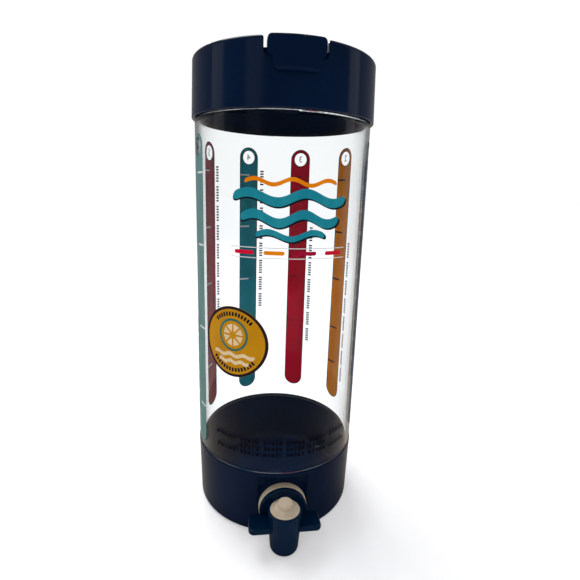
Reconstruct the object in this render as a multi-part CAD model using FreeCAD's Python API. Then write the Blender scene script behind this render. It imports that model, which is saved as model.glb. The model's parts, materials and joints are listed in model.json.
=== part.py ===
"""Countertop drink dispenser: clear round vessel, tapered base, press tap and flip-cover lid.

Millimetres, +Z up. The origin is the middle of the face that the base stands on, and the
tap faces -Y. One STEP file is written for each separate piece.
"""
import math
import os

import FreeCAD
import Part

V = FreeCAD.Vector

# Clear vessel
VESSEL_R = 54.0  # outside of the clear wall
VESSEL_WALL = 2.2
VESSEL_H = 209.3  # visible clear wall, from the base to the shoulder
TONGUE_H = 1.2  # thin lower edge that drops into the base
TONGUE_T = 1.1
NECK_STEP = 1.6  # the neck is this much inside the clear wall
NECK_WALL = 2.0
NECK_BEAD = 0.6  # how far each ring bead stands out of the neck
NECK_BEAD_H = 2.4
NECK_BEAD_ZS = (4.5, 10.5)  # beads above the shoulder

# Base
BASE_H = 43.8
BASE_PROUD = 0.4  # the base's rim stands outside the clear wall
BASE_DRAFT = 1.2  # the base is this much narrower at its foot, in radius
BASE_WALL = 2.4
BASE_FOOT_ROUND = 3.0
BASE_RIM_ROUND = 1.2
FLOOR_Z = 5.4  # inside of the floor
FLOOR_T = 2.6
FLOOR_ROUND = 4.0
FOOT_RING_W = 3.4
CENTRE_PAD_R = 14.0  # flat pad in the middle of the underside
FACET_W = 31.2  # flat pocket behind the tap
FACET_DEPTH = 3.4
FACET_RIM_H = 2.5  # the round rim goes on above the pocket
FACET_LOW_CLEAR = 0.9  # pocket below the outer washer
FACET_WALL = 2.0
TUBE_SEAL_T = 0.6

# Press tap
TAP_BELOW_MIDDLE = 2.95  # shank's axis below the middle between the floor and the pocket's top
TAP_REACH = 14.5  # from the pocket's flat to the axis of the barrel
SHANK_R = 8.0
SHANK_INNER_L = 13.0  # length inside the base, from the pocket's flat
INLET_R = 3.8
INLET_DROP = 2.0  # the inlet bore lies below the shank's axis
OUTER_WASHER_R = 15.0
OUTER_WASHER_T = 4.4
INNER_WASHER_R = 12.0
INNER_WASHER_T = 2.0
FLANGE_R = 14.8
FLANGE_T = 2.7
NUT_FLANGE_R = 12.2
NUT_FLANGE_T = 1.8
NUT_FLATS = 20.6  # across the flats
NUT_H = 5.4
BARREL_TOP_R = 10.3
BARREL_MID_R = 9.25
SPOUT_R = 8.5
SPOUT_ROUND = 3.4
BARREL_TOP_UP = 8.0  # mouth of the barrel above the shank's axis
BARREL_MID_Z = 12.0
BARREL_MID_ROUND = 20.0
SPOUT_Z = 0.8  # lowest edge of the spout above the table
CHAMBER_R = 8.0
SPOUT_BORE_R = 6.2
SPOUT_BORE_L = 8.8
SEAT_R = 4.4
SEAT_T = 2.4
GUIDE_WALL = 1.1
GUIDE_H = 4.0
RIB_T = 1.0
RIB_COUNT = 3
WING_SPAN = 43.6
WING_T = 3.3
WING_DROP = 1.3  # top of the finger wings below the shank's axis
WING_FRONT = 5.8  # in front of the barrel's axis
WING_BACK = 8.6  # behind it, into the flange
WING_ROUND = 3.4
WING_EDGE_ROUND = 1.2
BEAD_R = 9.0  # rim of the rubber button
BEAD_H = 1.6
BEAD_W = 1.5
DOME_RISE = 2.3
DOME_T = 1.2
NUB_R = 4.6
NUB_H = 2.5
NUB_ROUND = 0.9
NUB_SKIRT = 1.4  # part of the nub below the top of the dome
STEM_R = 2.0
STEM_SOCKET = 2.6  # depth of the stem's end inside the nub
STEM_COLLAR_R = 3.4
STEM_COLLAR_T = 1.2
STEM_HEAD_R = 3.0
STEM_HEAD_T = 0.8
PLUG_R = 5.4
PLUG_T = 2.8

# Lid
LID_PROUD = 1.8  # the lid's lower edge stands outside the clear wall
LID_DRAFT = 1.05
LID_H = 33.2
LID_GAP = 0.4  # between the lid and the vessel's shoulder
RIM_RISE = 7.2  # the rim stands above the deck
RIM_W = 3.0
RIM_ROUND = 2.0
DECK_T = 2.2
ROOF_DROP = 3.7  # from the deck down to the seat of the gasket
GASKET_T = 1.6
SKIRT_CLEAR = 0.4  # skirt to the neck's beads
PLUG_CLEAR = 0.3  # inner plug to the neck's bore
PLUG_WALL = 1.8
PLUG_SHORT = 2.5  # the inner plug ends above the lid's lower edge
NOTCH_W = 32.5
NOTCH_DROP = 2.7  # in the outside wall the notch goes on below the deck
NOTCH_ROUND = 2.0
NOTCH_FOOT_ROUND = 2.5
FILL_R = 19.0
FILL_Y = -26.0

# Flip cover
COVER_W = 54.0
COVER_T = 2.2
COVER_LIFT = 0.3  # underside above the deck
COVER_CLEAR = 1.6  # to the rim's inside
COVER_CORNER = 5.0
COVER_BACK = 4.0  # back edge in front of the hinge
COVER_SEAL_W = 2.4
COVER_SEAL_T = 1.5
COVER_SEAL_OUT = 1.2  # seal outside the edge of the filling hole
HINGE_Y = 2.0
HINGE_UP = 3.9  # pin above the deck
HINGE_R = 3.2
HINGE_L = 42.0  # the cover's knuckle
EAR_T = 4.0
EAR_GAP = 0.3
PIN_R = 1.5
TAB_W = 29.5
TAB_LOW = 0.6  # top of the tab below the lid's rim
TAB_T = 2.4
TAB_GAP = 0.35  # tab to the lid's outside
TONGUE_W = 24.7
TONGUE_BOTTOM = 9.5  # tongue below the deck
TONGUE_ROUND = 3.8
TONGUE_EDGE_ROUND = 1.6
TAB_STEP_DROP = 3.0  # the wide part goes on this far below the cover's underside
TAB_CORNER_ROUND = 2.1  # its lower corners
TAB_STEP_ROUND = 0.3  # between them and the tongue
TAB_TOP_ROUND = 2.8
ARM_INSET = 1.8  # the arm to the tab is this much narrower on each side

# Sticker
STICKER_R = 21.5
STICKER_T = 0.15
STICKER_Z = 126.3
STICKER_TURN = 34.9  # degrees from the front, towards -X

# Fits
GLUE_GAP = 0.05  # fixed pieces that share a round face
RUN_FIT = 0.08  # stem in its guide, cover on its pin
BIG = 400.0  # longer than the whole object

# Levels and radii that several pieces share
shoulder_z = BASE_H + VESSEL_H
vessel_in_r = VESSEL_R - VESSEL_WALL
neck_r = VESSEL_R - NECK_STEP
neck_in_r = neck_r - NECK_WALL
base_top_r = VESSEL_R + BASE_PROUD
base_foot_r = base_top_r - BASE_DRAFT
rebate_r = vessel_in_r + TONGUE_T + GLUE_GAP
rebate_z = BASE_H - TONGUE_H - TUBE_SEAL_T
facet_y = -(base_top_r - FACET_DEPTH)
facet_in_y = facet_y + FACET_WALL
facet_top_z = BASE_H - FACET_RIM_H
tap_z = (FLOOR_Z + facet_top_z) / 2 - TAP_BELOW_MIDDLE
facet_bottom_z = tap_z - OUTER_WASHER_R - FACET_LOW_CLEAR
barrel_y = facet_y - TAP_REACH
mouth_z = tap_z + BARREL_TOP_UP
wing_top_z = tap_z - WING_DROP
seat_z = SPOUT_Z + SPOUT_BORE_L
nub_z = mouth_z + DOME_RISE
lid_z = shoulder_z + LID_GAP
lid_top_z = lid_z + LID_H
lid_foot_r = VESSEL_R + LID_PROUD
lid_rim_r = lid_foot_r - LID_DRAFT
deck_z = lid_top_z - RIM_RISE
deck_under_z = deck_z - DECK_T
roof_z = deck_under_z - ROOF_DROP
neck_top_z = roof_z - GASKET_T
skirt_r = neck_r + NECK_BEAD + SKIRT_CLEAR
plug_r = neck_in_r - PLUG_CLEAR
cover_z = deck_z + COVER_LIFT
hinge_z = deck_z + HINGE_UP


def corner_reaches(points, roundings):
    """Tangent length at each corner, cut back where two roundings would meet on one side."""
    count = len(points)
    halves, reaches = [], []
    for i in range(count):
        back = points[i - 1] - points[i]
        ahead = points[(i + 1) % count] - points[i]
        halves.append(back.getAngle(ahead) / 2)
        reaches.append(roundings[i] / math.tan(halves[i]))
    shares = [1.0] * count
    for i in range(count):
        j = (i + 1) % count
        room = points[i].distanceToPoint(points[j]) * 0.999
        if reaches[i] + reaches[j] > room:
            share = room / (reaches[i] + reaches[j])
            shares[i] = min(shares[i], share)
            shares[j] = min(shares[j], share)
    return halves, [reach * share for reach, share in zip(reaches, shares)]


def outline(corners):
    """Face in the XZ plane from (x, z, rounding) corners, with arcs at the rounded ones."""
    points = [V(corner[0], 0, corner[1]) for corner in corners]
    roundings = [corner[2] if len(corner) > 2 else 0.0 for corner in corners]
    halves, reaches = corner_reaches(points, roundings)
    count = len(points)
    edges = []
    ends = []
    for i in range(count):
        back = (points[i - 1] - points[i]).normalize()
        ahead = (points[(i + 1) % count] - points[i]).normalize()
        start = points[i] + back * reaches[i]
        end = points[i] + ahead * reaches[i]
        if reaches[i] > 0:
            sag = reaches[i] / math.cos(halves[i]) - reaches[i] * math.tan(halves[i])
            middle = points[i] + (back + ahead).normalize() * sag
            arc = Part.Arc(start, middle, end).toShape()
        else:
            arc = None
        ends.append((start, arc, end))
    for i in range(count):
        if ends[i][1] is not None:
            edges.append(ends[i][1])
        edges.append(Part.makeLine(ends[i][2], ends[(i + 1) % count][0]))
    return Part.Face(Part.Wire(edges))


def turned(corners):
    """Solid of revolution about Z from (radius, height, rounding) corners."""
    return outline(corners).revolve(V(0, 0, 0), V(0, 0, 1), 360)


def facing(shape, z):
    """Turn a solid made about Z so that its height runs forwards, to -Y, at height z."""
    shape.rotate(V(0, 0, 0), V(1, 0, 0), 90)
    shape.translate(V(0, 0, z))
    return shape


def tube(inner_r, outer_r, low, high):
    """Plain ring about Z."""
    return turned([(inner_r, low), (outer_r, low), (outer_r, high), (inner_r, high)])


def disc(radius, low, high):
    """Plain cylinder about Z."""
    return Part.makeCylinder(radius, high - low, V(0, 0, low))


def block(x_low, x_high, y_low, y_high, z_low, z_high):
    """Box between two corners."""
    size = V(x_high - x_low, y_high - y_low, z_high - z_low)
    return Part.makeBox(size.x, size.y, size.z, V(x_low, y_low, z_low))


def moved(shape, x, y, z):
    """The shape, shifted."""
    shape.translate(V(x, y, z))
    return shape


def base_outer_r(z):
    """Outside radius of the tapered base at a height."""
    return base_foot_r + BASE_DRAFT * z / BASE_H


def lid_outer_r(z):
    """Outside radius of the tapered lid at a height."""
    return lid_foot_r - LID_DRAFT * (z - lid_z) / LID_H


def make_base_cup():
    """Tapered cup with a foot ring, a rebate for the clear wall and a flat for the tap."""
    recess_z = FLOOR_Z - FLOOR_T
    ring_out = base_foot_r - BASE_FOOT_ROUND
    ring_in = ring_out - FOOT_RING_W
    inside_r = vessel_in_r - GLUE_GAP
    cup = turned([
        (0, 0),
        (CENTRE_PAD_R, 0, 0.6),
        (CENTRE_PAD_R + recess_z / 2, recess_z, 0.8),
        (ring_in - recess_z / 2, recess_z, 0.8),
        (ring_in, 0, 0.6),
        (base_foot_r, 0, BASE_FOOT_ROUND),
        (base_top_r, BASE_H, BASE_RIM_ROUND),
        (rebate_r, BASE_H),
        (rebate_r, rebate_z),
        (inside_r, rebate_z),
        (base_outer_r(FLOOR_Z) - BASE_WALL, FLOOR_Z, FLOOR_ROUND),
        (0, FLOOR_Z),
    ])
    pad_half = FACET_W / 2 + FACET_WALL
    pad = block(-pad_half, pad_half, facet_y - FACET_DEPTH, facet_in_y, recess_z, BASE_H - 0.8)
    cup = cup.fuse(pad.common(turned([
        (0, recess_z),
        (base_outer_r(recess_z) - BASE_WALL / 2, recess_z),
        (inside_r, rebate_z),
        (inside_r, BASE_H),
        (0, BASE_H),
    ])))
    half = FACET_W / 2
    pocket = block(-half, half, -BIG, facet_y, facet_bottom_z, facet_top_z)
    hole = facing(disc(SHANK_R + GLUE_GAP, 0, BIG), tap_z)
    return cup.cut(pocket).cut(hole).removeSplitter()


def make_vessel_tube():
    """Clear straight wall with a thin lower tongue, a stepped neck and two ring beads."""
    tongue_r = vessel_in_r + TONGUE_T
    outside = [
        (vessel_in_r, BASE_H - TONGUE_H),
        (tongue_r, BASE_H - TONGUE_H),
        (tongue_r, BASE_H),
        (VESSEL_R, BASE_H, 0.3),
        (VESSEL_R, shoulder_z, 0.8),
        (neck_r, shoulder_z),
    ]
    for bead_z in NECK_BEAD_ZS:
        low = shoulder_z + bead_z
        outside += [
            (neck_r, low),
            (neck_r + NECK_BEAD, low + NECK_BEAD_H / 3),
            (neck_r + NECK_BEAD, low + NECK_BEAD_H * 2 / 3),
            (neck_r, low + NECK_BEAD_H),
        ]
    inside = [
        (neck_r, neck_top_z, 0.5),
        (neck_in_r, neck_top_z, 0.5),
        (neck_in_r, shoulder_z + 1.0, 1.0),
        (vessel_in_r, shoulder_z - 2.0, 1.5),
    ]
    return turned(outside + inside)


def make_tube_seal():
    """Flat rubber ring in the rebate, under the clear wall."""
    return tube(vessel_in_r + GLUE_GAP, rebate_r - GLUE_GAP, rebate_z, BASE_H - TONGUE_H)


def make_round_sticker():
    """Thin round sticker that follows the clear wall."""
    skin_r = VESSEL_R + GLUE_GAP
    skin = tube(skin_r, skin_r + STICKER_T, STICKER_Z - STICKER_R, STICKER_Z + STICKER_R)
    punch = facing(disc(STICKER_R, 0, BIG), STICKER_Z)
    sticker = skin.common(punch)
    sticker.rotate(V(0, 0, 0), V(0, 0, 1), -STICKER_TURN)
    return sticker


def make_wings():
    """Flat finger wings, rounded at the corners and along their edges."""
    half = WING_SPAN / 2
    plate = outline([
        (-half, -WING_FRONT, WING_ROUND),
        (half, -WING_FRONT, WING_ROUND),
        (half, WING_BACK, WING_ROUND),
        (-half, WING_BACK, WING_ROUND),
    ])
    plate.rotate(V(0, 0, 0), V(1, 0, 0), -90)
    plate = plate.extrude(V(0, 0, WING_T))
    plate = plate.makeFillet(WING_EDGE_ROUND, plate.Edges)
    return moved(plate, 0, barrel_y, wing_top_z - WING_T)


def make_guide_ribs():
    """Ring that guides the valve stem, carried in the seat by thin ribs."""
    low = seat_z + 0.5
    ring_r = STEM_R + RUN_FIT + GUIDE_WALL
    guide = disc(ring_r, low, low + GUIDE_H)
    for i in range(RIB_COUNT):
        rib = block(0, SEAT_R + 0.8, -RIB_T / 2, RIB_T / 2, low, seat_z + SEAT_T)
        rib.rotate(V(0, 0, 0), V(0, 0, 1), 90 + i * 360 / RIB_COUNT)
        guide = guide.fuse(rib)
    return guide.cut(disc(STEM_R + RUN_FIT, low - 1, low + GUIDE_H + 1))


def make_tap_body():
    """One moulding: threaded shank, flange, upright barrel with spout, and finger wings."""
    inner_end = -facet_y - SHANK_INNER_L
    flange_back = -facet_y + OUTER_WASHER_T
    shank = facing(turned([
        (0, inner_end),
        (SHANK_R, inner_end, 0.8),
        (SHANK_R, flange_back),
        (FLANGE_R, flange_back, 0.4),
        (FLANGE_R, flange_back + FLANGE_T, 1.0),
        (0, flange_back + FLANGE_T),
    ]), tap_z)
    barrel = moved(turned([
        (0, SPOUT_Z),
        (SPOUT_R, SPOUT_Z, SPOUT_ROUND),
        (BARREL_MID_R, BARREL_MID_Z, BARREL_MID_ROUND),
        (BARREL_TOP_R, mouth_z, 0.5),
        (0, mouth_z),
    ]), 0, barrel_y, 0)
    barrel = barrel.cut(block(-BIG, BIG, -flange_back, BIG, 0, BIG))
    body = shank.fuse(make_wings()).fuse(barrel)
    bead_r = BEAD_R + GLUE_GAP
    bore = moved(turned([
        (0, SPOUT_Z - 1),
        (SPOUT_BORE_R, SPOUT_Z - 1),
        (SPOUT_BORE_R, seat_z),
        (SEAT_R, seat_z),
        (SEAT_R, seat_z + SEAT_T - 0.6),
        (CHAMBER_R, seat_z + SEAT_T + 0.8),
        (CHAMBER_R, mouth_z - BEAD_H),
        (bead_r, mouth_z - BEAD_H),
        (bead_r, mouth_z + 1),
        (0, mouth_z + 1),
    ]), 0, barrel_y, 0)
    inlet = disc(INLET_R, inner_end - 1, -barrel_y)
    body = body.cut(bore).cut(facing(inlet, tap_z - INLET_DROP))
    return body.fuse(moved(make_guide_ribs(), 0, barrel_y, 0)).removeSplitter()


def make_outer_washer():
    """Thick pale washer between the flange and the flat of the base."""
    low = -facet_y
    high = low + OUTER_WASHER_T
    return facing(turned([
        (SHANK_R + GLUE_GAP, low),
        (OUTER_WASHER_R, low, 0.5),
        (OUTER_WASHER_R, high, 0.5),
        (SHANK_R + GLUE_GAP, high),
    ]), tap_z)


def make_inner_washer():
    """Rubber washer on the inside of the flat."""
    high = -facet_in_y
    low = high - INNER_WASHER_T
    return facing(tube(SHANK_R + GLUE_GAP, INNER_WASHER_R, low, high), tap_z)


def make_tap_nut():
    """Flanged hexagon nut that clamps the tap from inside."""
    back = -facet_in_y - INNER_WASHER_T
    front = back - NUT_FLANGE_T
    corner_r = NUT_FLATS / math.sqrt(3)
    nut = turned([(0, front), (NUT_FLANGE_R, front, 0.5), (NUT_FLANGE_R, back, 0.3), (0, back)])
    points = []
    for i in range(7):
        turn = math.radians(60 * i)
        points.append(V(corner_r * math.cos(turn), corner_r * math.sin(turn), front - NUT_H))
    hexagon = Part.Face(Part.makePolygon(points)).extrude(V(0, 0, NUT_H))
    crown = turned([
        (0, front - NUT_H),
        (NUT_FLATS / 2, front - NUT_H),
        (corner_r, front - NUT_H + 1.0),
        (corner_r, front),
        (0, front),
    ])
    nut = nut.fuse(hexagon.common(crown))
    nut = nut.cut(disc(SHANK_R + GLUE_GAP, front - NUT_H - 1, back + 1))
    return facing(nut.removeSplitter(), tap_z)


def make_button_diaphragm():
    """Domed rubber skirt of the button, with its rim bead in the mouth of the barrel."""
    bead_in = BEAD_R - BEAD_W
    hole_r = NUB_R + GLUE_GAP
    skirt = turned([
        (bead_in, mouth_z - BEAD_H),
        (BEAD_R, mouth_z - BEAD_H),
        (BEAD_R, mouth_z, 0.4),
        (bead_in + 0.6, mouth_z, 0.8),
        (hole_r, nub_z),
        (hole_r, nub_z - DOME_T),
        (bead_in, mouth_z - DOME_T, 0.6),
    ])
    return moved(skirt, 0, barrel_y, 0)


def make_press_button():
    """Round nub of the button, which the thumb presses, with a socket for the stem."""
    low = nub_z - NUB_SKIRT
    top = nub_z + NUB_H
    nub = turned([(0, low), (NUB_R, low, 0.3), (NUB_R, top, NUB_ROUND), (0, top)])
    socket = disc(STEM_R + GLUE_GAP, low - 1, low + STEM_SOCKET)
    return moved(nub.cut(socket), 0, barrel_y, 0)


def make_valve_stem():
    """Stem from the nub down to the valve plug, with a collar and a retaining head."""
    top = nub_z - NUB_SKIRT
    foot = seat_z - PLUG_T - STEM_HEAD_T
    stem = turned([
        (0, foot),
        (STEM_HEAD_R, foot, 0.4),
        (STEM_HEAD_R, foot + STEM_HEAD_T),
        (STEM_R, foot + STEM_HEAD_T),
        (STEM_R, top - STEM_COLLAR_T),
        (STEM_COLLAR_R, top - STEM_COLLAR_T, 0.3),
        (STEM_COLLAR_R, top),
        (STEM_R, top),
        (STEM_R, top + STEM_SOCKET - 0.1, 0.5),
        (0, top + STEM_SOCKET - 0.1),
    ])
    return moved(stem, 0, barrel_y, 0)


def make_valve_plug():
    """Soft plug on the stem, closed against the underside of the seat."""
    plug = turned([
        (STEM_R + GLUE_GAP, seat_z - PLUG_T),
        (PLUG_R - 1.4, seat_z - PLUG_T, 0.5),
        (PLUG_R, seat_z - PLUG_T * 0.4, 0.6),
        (PLUG_R, seat_z),
        (STEM_R + GLUE_GAP, seat_z),
    ])
    return moved(plug, 0, barrel_y, 0)


def make_notch(foot_z):
    """Cutter for the gap in the lid's rim, with rounded corners, down to a foot."""
    half = NOTCH_W / 2
    flare = half + NOTCH_ROUND
    face = outline([
        (-half, foot_z, NOTCH_FOOT_ROUND),
        (half, foot_z, NOTCH_FOOT_ROUND),
        (half, lid_top_z, NOTCH_ROUND),
        (flare, lid_top_z),
        (flare, lid_top_z + 2),
        (-flare, lid_top_z + 2),
        (-flare, lid_top_z),
        (-half, lid_top_z, NOTCH_ROUND),
    ])
    return face.extrude(V(0, -BIG, 0))


def make_ear(x_low):
    """Upright lug on the deck that carries one end of the hinge pin."""
    face = outline([
        (HINGE_Y - HINGE_R, deck_z - 0.5),
        (HINGE_Y + HINGE_R, deck_z - 0.5),
        (HINGE_Y + HINGE_R, hinge_z + HINGE_R, HINGE_R - 0.01),
        (HINGE_Y - HINGE_R, hinge_z + HINGE_R, HINGE_R - 0.01),
    ])
    ear = face.extrude(V(0, -EAR_T, 0))
    ear.rotate(V(0, 0, 0), V(0, 0, 1), 90)
    return moved(ear, x_low, 0, 0)


def make_lid_body():
    """Deep cap: tapered skirt, raised rim, recessed deck, inner plug, ears and filling hole."""
    lid = turned([
        (skirt_r, lid_z),
        (lid_foot_r, lid_z, 0.6),
        (lid_rim_r, lid_top_z, RIM_ROUND),
        (lid_rim_r - RIM_W, lid_top_z, 0.8),
        (lid_rim_r - RIM_W - 0.3, deck_z, 1.0),
        (0, deck_z),
        (0, deck_under_z),
        (plug_r - PLUG_WALL, deck_under_z, 1.0),
        (plug_r - PLUG_WALL, lid_z + PLUG_SHORT),
        (plug_r, lid_z + PLUG_SHORT, 0.8),
        (plug_r, roof_z),
        (skirt_r, roof_z),
    ])
    ear_low = HINGE_L / 2 + EAR_GAP
    for x_low in (ear_low, -ear_low - EAR_T):
        lid = lid.fuse(make_ear(x_low))
    pin_hole = Part.makeCylinder(PIN_R + GLUE_GAP, BIG, V(-BIG / 2, HINGE_Y, hinge_z), V(1, 0, 0))
    fill = moved(disc(FILL_R, deck_under_z - 1, deck_z + 1), 0, FILL_Y, 0)
    bore = pin_hole.common(disc(lid_rim_r - RIM_W - 2, deck_z, lid_top_z + 5))
    recess = make_notch(deck_z - NOTCH_DROP).cut(disc(skirt_r, 0, BIG))
    return lid.cut(make_notch(deck_z)).cut(recess).cut(fill).cut(bore).removeSplitter()


def make_lid_gasket():
    """Flat ring in the roof of the lid's channel, on the vessel's upper edge."""
    return tube(plug_r + GLUE_GAP, skirt_r - GLUE_GAP, neck_top_z, roof_z)


def make_cover_hinge_pin():
    """Plain hinge pin through the two ears and the cover's knuckle."""
    half = HINGE_L / 2 + EAR_GAP + EAR_T + 0.4
    pin = turned([(0, -half), (PIN_R, -half, 0.4), (PIN_R, half, 0.4), (0, half)])
    pin.rotate(V(0, 0, 0), V(0, 1, 0), 90)
    return moved(pin, 0, HINGE_Y, hinge_z)


def make_tab():
    """Curved thumb tab: wide in the notch, narrower where it hangs over the skirt."""
    inner_r = lid_outer_r(deck_z - TONGUE_BOTTOM) + TAB_GAP
    wide = TAB_W / 2
    narrow = TONGUE_W / 2
    top = lid_top_z - TAB_LOW
    low = deck_z - TONGUE_BOTTOM
    shell = turned([
        (inner_r, low, 0.5),
        (inner_r + TAB_T, low, TONGUE_EDGE_ROUND),
        (inner_r + TAB_T, top, 1.0),
        (inner_r - 1.2, top, 0.5),
        (inner_r - 1.2, cover_z),
        (inner_r, cover_z),
    ])
    step_z = cover_z - TAB_STEP_DROP
    face = outline([
        (-narrow, low - 1),
        (-narrow, step_z, TAB_STEP_ROUND),
        (-wide, step_z, TAB_CORNER_ROUND),
        (-wide, top + 1),
        (wide, top + 1),
        (wide, step_z, TAB_CORNER_ROUND),
        (narrow, step_z, TAB_STEP_ROUND),
        (narrow, low - 1),
    ])
    corner = outline([
        (-narrow, low, TONGUE_ROUND),
        (narrow, low, TONGUE_ROUND),
        (narrow, step_z - 0.1),
        (wide, step_z - 0.1),
        (wide, top, TAB_TOP_ROUND),
        (-wide, top, TAB_TOP_ROUND),
        (-wide, step_z - 0.1),
        (-narrow, step_z - 0.1),
    ])
    tab = shell.common(face.extrude(V(0, -BIG, 0)))
    return tab.common(corner.extrude(V(0, -BIG, 0)))


def make_flip_cover():
    """Cover panel over the filling hole, with its knuckle, thumb tab and seal groove."""
    half = COVER_W / 2
    edge_r = lid_rim_r - RIM_W - COVER_CLEAR
    back_y = HINGE_Y - COVER_BACK
    panel = block(-half, half, -BIG, back_y, cover_z, cover_z + COVER_T)
    panel = panel.common(disc(edge_r, cover_z, cover_z + COVER_T))
    uprights = []
    for edge in panel.Edges:
        ends = [vertex.Point for vertex in edge.Vertexes]
        if len(ends) == 2 and abs(ends[0].z - ends[1].z) > COVER_T / 2:
            uprights.append(edge)
    panel = panel.makeFillet(COVER_CORNER, uprights)
    knuckle_half = HINGE_L / 2
    web = block(-knuckle_half, knuckle_half, back_y - 1, HINGE_Y, cover_z, cover_z + COVER_T)
    knuckle = Part.makeCylinder(HINGE_R, HINGE_L, V(-knuckle_half, HINGE_Y, hinge_z), V(1, 0, 0))
    arm_half = TAB_W / 2 - ARM_INSET
    arm = block(-arm_half, arm_half, -edge_r - 8, -edge_r + 4, cover_z, cover_z + COVER_T)
    arm = arm.common(disc(lid_outer_r(deck_z) + TAB_GAP + TAB_T / 2, cover_z, cover_z + COVER_T))
    cover = panel.fuse(web).fuse(knuckle).fuse(arm).fuse(make_tab())
    pin_r = PIN_R + RUN_FIT
    bore = Part.makeCylinder(pin_r, BIG, V(-BIG / 2, HINGE_Y, hinge_z), V(1, 0, 0))
    seal_r = FILL_R + COVER_SEAL_OUT
    groove_top = deck_z + COVER_SEAL_T
    groove = tube(seal_r - GLUE_GAP, seal_r + COVER_SEAL_W + GLUE_GAP, deck_z, groove_top)
    return cover.cut(bore).cut(moved(groove, 0, FILL_Y, 0)).removeSplitter()


def make_cover_seal():
    """Rubber ring under the cover, on the deck round the filling hole."""
    inner_r = FILL_R + COVER_SEAL_OUT
    ring = tube(inner_r, inner_r + COVER_SEAL_W, deck_z, deck_z + COVER_SEAL_T)
    return moved(ring, 0, FILL_Y, 0)


PIECES = {
    "base_cup": make_base_cup,
    "vessel_tube": make_vessel_tube,
    "tube_seal": make_tube_seal,
    "round_sticker": make_round_sticker,
    "tap_body": make_tap_body,
    "outer_washer": make_outer_washer,
    "inner_washer": make_inner_washer,
    "tap_nut": make_tap_nut,
    "button_diaphragm": make_button_diaphragm,
    "press_button": make_press_button,
    "valve_stem": make_valve_stem,
    "valve_plug": make_valve_plug,
    "lid_body": make_lid_body,
    "lid_gasket": make_lid_gasket,
    "cover_hinge_pin": make_cover_hinge_pin,
    "flip_cover": make_flip_cover,
    "cover_seal": make_cover_seal,
}


def main():
    """Build every piece and write one STEP file for each."""
    os.makedirs("parts", exist_ok=True)
    for name, make in PIECES.items():
        shape = make()
        shape.exportStep("parts/" + name + ".step")
        box = shape.BoundBox
        print(name, len(shape.Solids), shape.isValid(), round(shape.Volume, 1),
              [round(value, 2) for value in (box.XMin, box.XMax, box.YMin, box.YMax, box.ZMin, box.ZMax)])


main()
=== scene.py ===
"""Drink dispenser: printed wall, sticker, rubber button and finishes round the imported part.

Lengths are in metres in the part's own frame: +Z up, the tap towards -Y.
"""
import json
import logging
import math
from dataclasses import dataclass, field, replace
from enum import Enum

import bpy
from mathutils import Matrix, Vector

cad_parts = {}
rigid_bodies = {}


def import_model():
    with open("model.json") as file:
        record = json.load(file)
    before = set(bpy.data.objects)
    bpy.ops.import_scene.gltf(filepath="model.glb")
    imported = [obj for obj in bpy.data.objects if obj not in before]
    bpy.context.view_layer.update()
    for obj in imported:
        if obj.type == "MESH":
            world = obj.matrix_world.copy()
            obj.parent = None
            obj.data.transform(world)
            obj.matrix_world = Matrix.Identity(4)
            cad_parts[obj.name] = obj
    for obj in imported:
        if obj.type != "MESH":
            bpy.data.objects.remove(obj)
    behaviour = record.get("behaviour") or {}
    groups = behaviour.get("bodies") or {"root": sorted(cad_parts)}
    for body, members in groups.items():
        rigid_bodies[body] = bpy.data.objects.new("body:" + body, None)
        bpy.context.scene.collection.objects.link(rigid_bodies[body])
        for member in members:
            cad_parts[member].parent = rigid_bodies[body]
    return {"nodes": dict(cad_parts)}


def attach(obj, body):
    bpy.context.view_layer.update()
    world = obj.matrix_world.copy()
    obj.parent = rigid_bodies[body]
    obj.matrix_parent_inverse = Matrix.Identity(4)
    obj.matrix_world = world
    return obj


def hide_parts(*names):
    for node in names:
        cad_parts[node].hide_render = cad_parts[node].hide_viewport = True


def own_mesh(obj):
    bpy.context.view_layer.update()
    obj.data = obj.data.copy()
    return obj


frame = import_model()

Colour = tuple[float, float, float]
Point = tuple[float, float, float]
Pair = tuple[float, float]
Piece = bpy.types.Object
Socket = bpy.types.NodeSocket

log = logging.getLogger("dispenser")
MM = 0.001
VESSEL = "vessel"
UPRIGHT = (math.pi / 2, 0, 0)
# Vertices closer than this are merged.
MERGED = 1e-7
# Vertices that differ less than this sideways stand in one column.
ALIGNED = 2e-6
# Light Path's Glossy Depth is over this for a ray that a surface has mirrored.
MIRRORED = 0.5


class Slot(Enum):
    """The record's material slots."""

    CLEAR = "clear_plastic"
    STICKER = "sticker_vinyl"
    RUBBER = "cream_rubber"


@dataclass(frozen=True)
class Pattern:
    """Cloudy noise over a surface: clouds to a metre, finer layers, and the part of its range that shows.

    The stretch scales it along each axis.
    """

    scale: float
    detail: float
    shown: Pair = (0.0, 1.0)
    stretch: Point = (1, 1, 1)


@dataclass(frozen=True)
class Relief(Pattern):
    """A pattern that stands up from the surface, with how strongly it shows and its real depth."""

    strength: float = 0.1
    depth: float = 0.05 * MM


def srgb(red: int, green: int, blue: int) -> Colour:
    """Turns a display colour into the linear colour that shaders take.

    Args:
        red: Red, 0 to 255.
        green: Green, 0 to 255.
        blue: Blue, 0 to 255.

    Returns:
        The linear colour.
    """
    shares = [channel / 255 for channel in (red, green, blue)]
    # The numbers are those of the usual display curve.
    return tuple(s / 12.92 if s <= 0.04045 else ((s + 0.055) / 1.055) ** 2.4 for s in shares)


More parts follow.
